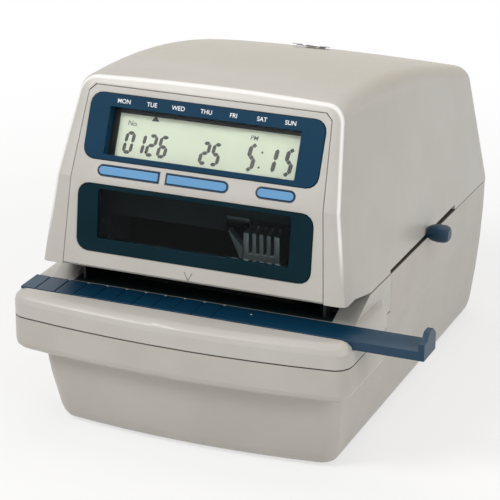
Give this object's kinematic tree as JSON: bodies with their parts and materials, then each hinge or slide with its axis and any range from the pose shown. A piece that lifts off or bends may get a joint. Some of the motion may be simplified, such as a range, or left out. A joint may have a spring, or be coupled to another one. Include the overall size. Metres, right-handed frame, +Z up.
{
  "type": "date and time stamp machine",
  "caption": "Desk date and time stamp: lift-off cover with display, keys and viewing window, over a paper throat with sliding guide, adjustable stop and travelling print head.",
  "frame": {"origin": "centre of the footprint of the whole machine's box, paper guide included, on the plane the feet stand on", "axes": "+X to the user's right along the paper guide, +Y from the front ledge to the back, +Z up"},
  "size_m": [0.2124, 0.2498, 0.1788],
  "materials": {
    "beige_plastic": "fine-grained moulded",
    "navy_plastic": "satin moulded",
    "dark_gloss": "glossy moulded",
    "clear_lens": "clear acrylic",
    "smoked_lens": "smoked acrylic",
    "display_glass": "reflective liquid-crystal panel",
    "button_blue": "satin moulded",
    "sheet_steel": "zinc-plated sheet",
    "dark_steel": "dark laminated or drawn steel",
    "chrome": "bright plated",
    "brass": "turned or sintered",
    "black_plastic": "moulded",
    "grey_plastic": "moulded",
    "rubber": "matt",
    "ribbon_cloth": "inked nylon weave",
    "board_green": "solder-masked laminate",
    "coil_amber": "taped winding",
    "battery_wrap": "shrink sleeve"
  },
  "bodies": {
    "machine_base": {"base_shell": "beige_plastic", "platform_cap": "beige_plastic", "bottom_plate": "sheet_steel", "bottom_screw_1": "sheet_steel", "bottom_screw_2": "sheet_steel", "bottom_screw_3": "sheet_steel", "bottom_screw_4": "sheet_steel", "foot_front_left": "rubber", "foot_front_right": "rubber", "foot_rear_left": "rubber", "foot_rear_right": "rubber", "throat_floor": "sheet_steel", "platen": "rubber", "mask_plate": "sheet_steel", "side_plate_left": "dark_steel", "side_plate_right": "dark_steel", "carriage_shaft": "chrome", "carriage_rail": "sheet_steel", "motor_plate": "sheet_steel", "rear_bracket": "sheet_steel", "drive_belt": "rubber", "carriage_motor": "dark_steel", "ribbon_cassette": "black_plastic", "ribbon": "ribbon_cloth", "stop_rail": "chrome", "paper_switch": "black_plastic", "main_board": "board_green", "transformer_core": "dark_steel", "transformer_coil": "coil_amber", "backup_battery": "battery_wrap", "power_inlet": "black_plastic"},
    "cover": {"cover_shell": "beige_plastic", "front_bezel": "beige_plastic", "lcd_frame": "navy_plastic", "lcd_lens": "clear_lens", "lcd_panel": "display_glass", "display_board": "board_green", "window_frame": "dark_gloss", "window_lens": "smoked_lens", "lock_barrel": "chrome"},
    "left_key": {"left_button": "button_blue"},
    "middle_key": {"middle_button": "button_blue"},
    "right_key": {"right_button": "button_blue"},
    "lock": {"lock_plug": "chrome", "lock_cam": "sheet_steel"},
    "guide": {"paper_guide": "navy_plastic", "guide_retainer": "sheet_steel"},
    "stop": {"stop_slider": "black_plastic", "stop_lever": "navy_plastic", "paper_stop": "sheet_steel"},
    "carriage": {"print_carriage": "black_plastic", "carriage_bush_left": "brass", "carriage_bush_right": "brass", "print_head": "grey_plastic", "ribbon_blade": "chrome"},
    "drive_wheel": {"motor_pulley": "brass"},
    "idler_wheel": {"idler_pulley": "black_plastic"},
    "ribbon_winder": {"ribbon_knob": "black_plastic"},
    "feeler": {"paper_feeler": "sheet_steel"}
  },
  "joints": [
    {"name": "cover_lift", "type": "slide", "parent": "machine_base", "child": "cover", "axis": [0, 0, 1], "range_m": [0, 0.14]},
    {"name": "left_button_press", "type": "slide", "parent": "cover", "child": "left_key", "axis": [0, 0.9178, -0.3971], "range_m": [0, 0.001], "stiffness_N_per_m": 300, "springref_m": -0.0005},
    {"name": "middle_button_press", "type": "slide", "parent": "cover", "child": "middle_key", "axis": [0, 0.9178, -0.3971], "range_m": [0, 0.001], "stiffness_N_per_m": 300, "springref_m": -0.0005},
    {"name": "right_button_press", "type": "slide", "parent": "cover", "child": "right_key", "axis": [0, 0.9178, -0.3971], "range_m": [0, 0.001], "stiffness_N_per_m": 300, "springref_m": -0.0005},
    {"name": "lock_turn", "type": "hinge", "parent": "cover", "child": "lock", "pos_m": [-0.02505, 0.0809, 0.15588], "axis": [0, -0.2828, -0.9592], "range_deg": [0, 90]},
    {"name": "guide_slide", "type": "slide", "parent": "machine_base", "child": "guide", "axis": [1, 0, 0], "range_m": [-0.05, 0.02]},
    {"name": "stop_slide", "type": "slide", "parent": "machine_base", "child": "stop", "axis": [0, 1, 0], "range_m": [-0.045, 0.035]},
    {"name": "carriage_slide", "type": "slide", "parent": "machine_base", "child": "carriage", "axis": [1, 0, 0], "range_m": [-0.052, 0]},
    {"name": "motor_pulley_turn", "type": "hinge", "parent": "machine_base", "child": "drive_wheel", "pos_m": [-0.06305, -0.0462, 0.106], "axis": [0, 1, 0], "range_deg": [-1, 332]},
    {"name": "idler_pulley_turn", "type": "hinge", "parent": "machine_base", "child": "idler_wheel", "pos_m": [0.03695, -0.0462, 0.106], "axis": [0, 1, 0], "range_deg": [-1, 332]},
    {"name": "ribbon_knob_turn", "type": "hinge", "parent": "machine_base", "child": "ribbon_winder", "pos_m": [-0.07005, -0.0852, 0.1005], "axis": [0, 1, 0], "continuous": true},
    {"name": "paper_feeler_swing", "type": "hinge", "parent": "machine_base", "child": "feeler", "pos_m": [0.03495, -0.0412, 0.0903], "axis": [1, 0, 0], "range_deg": [0, 25], "stiffness_Nm_per_rad": 0.002, "springref_deg": -5.73}
  ],
  "couplings": [
    {"joint": "motor_pulley_turn", "follows": "carriage_slide", "rad_per_m": -111.11},
    {"joint": "idler_pulley_turn", "follows": "carriage_slide", "rad_per_m": -111.11}
  ]
}
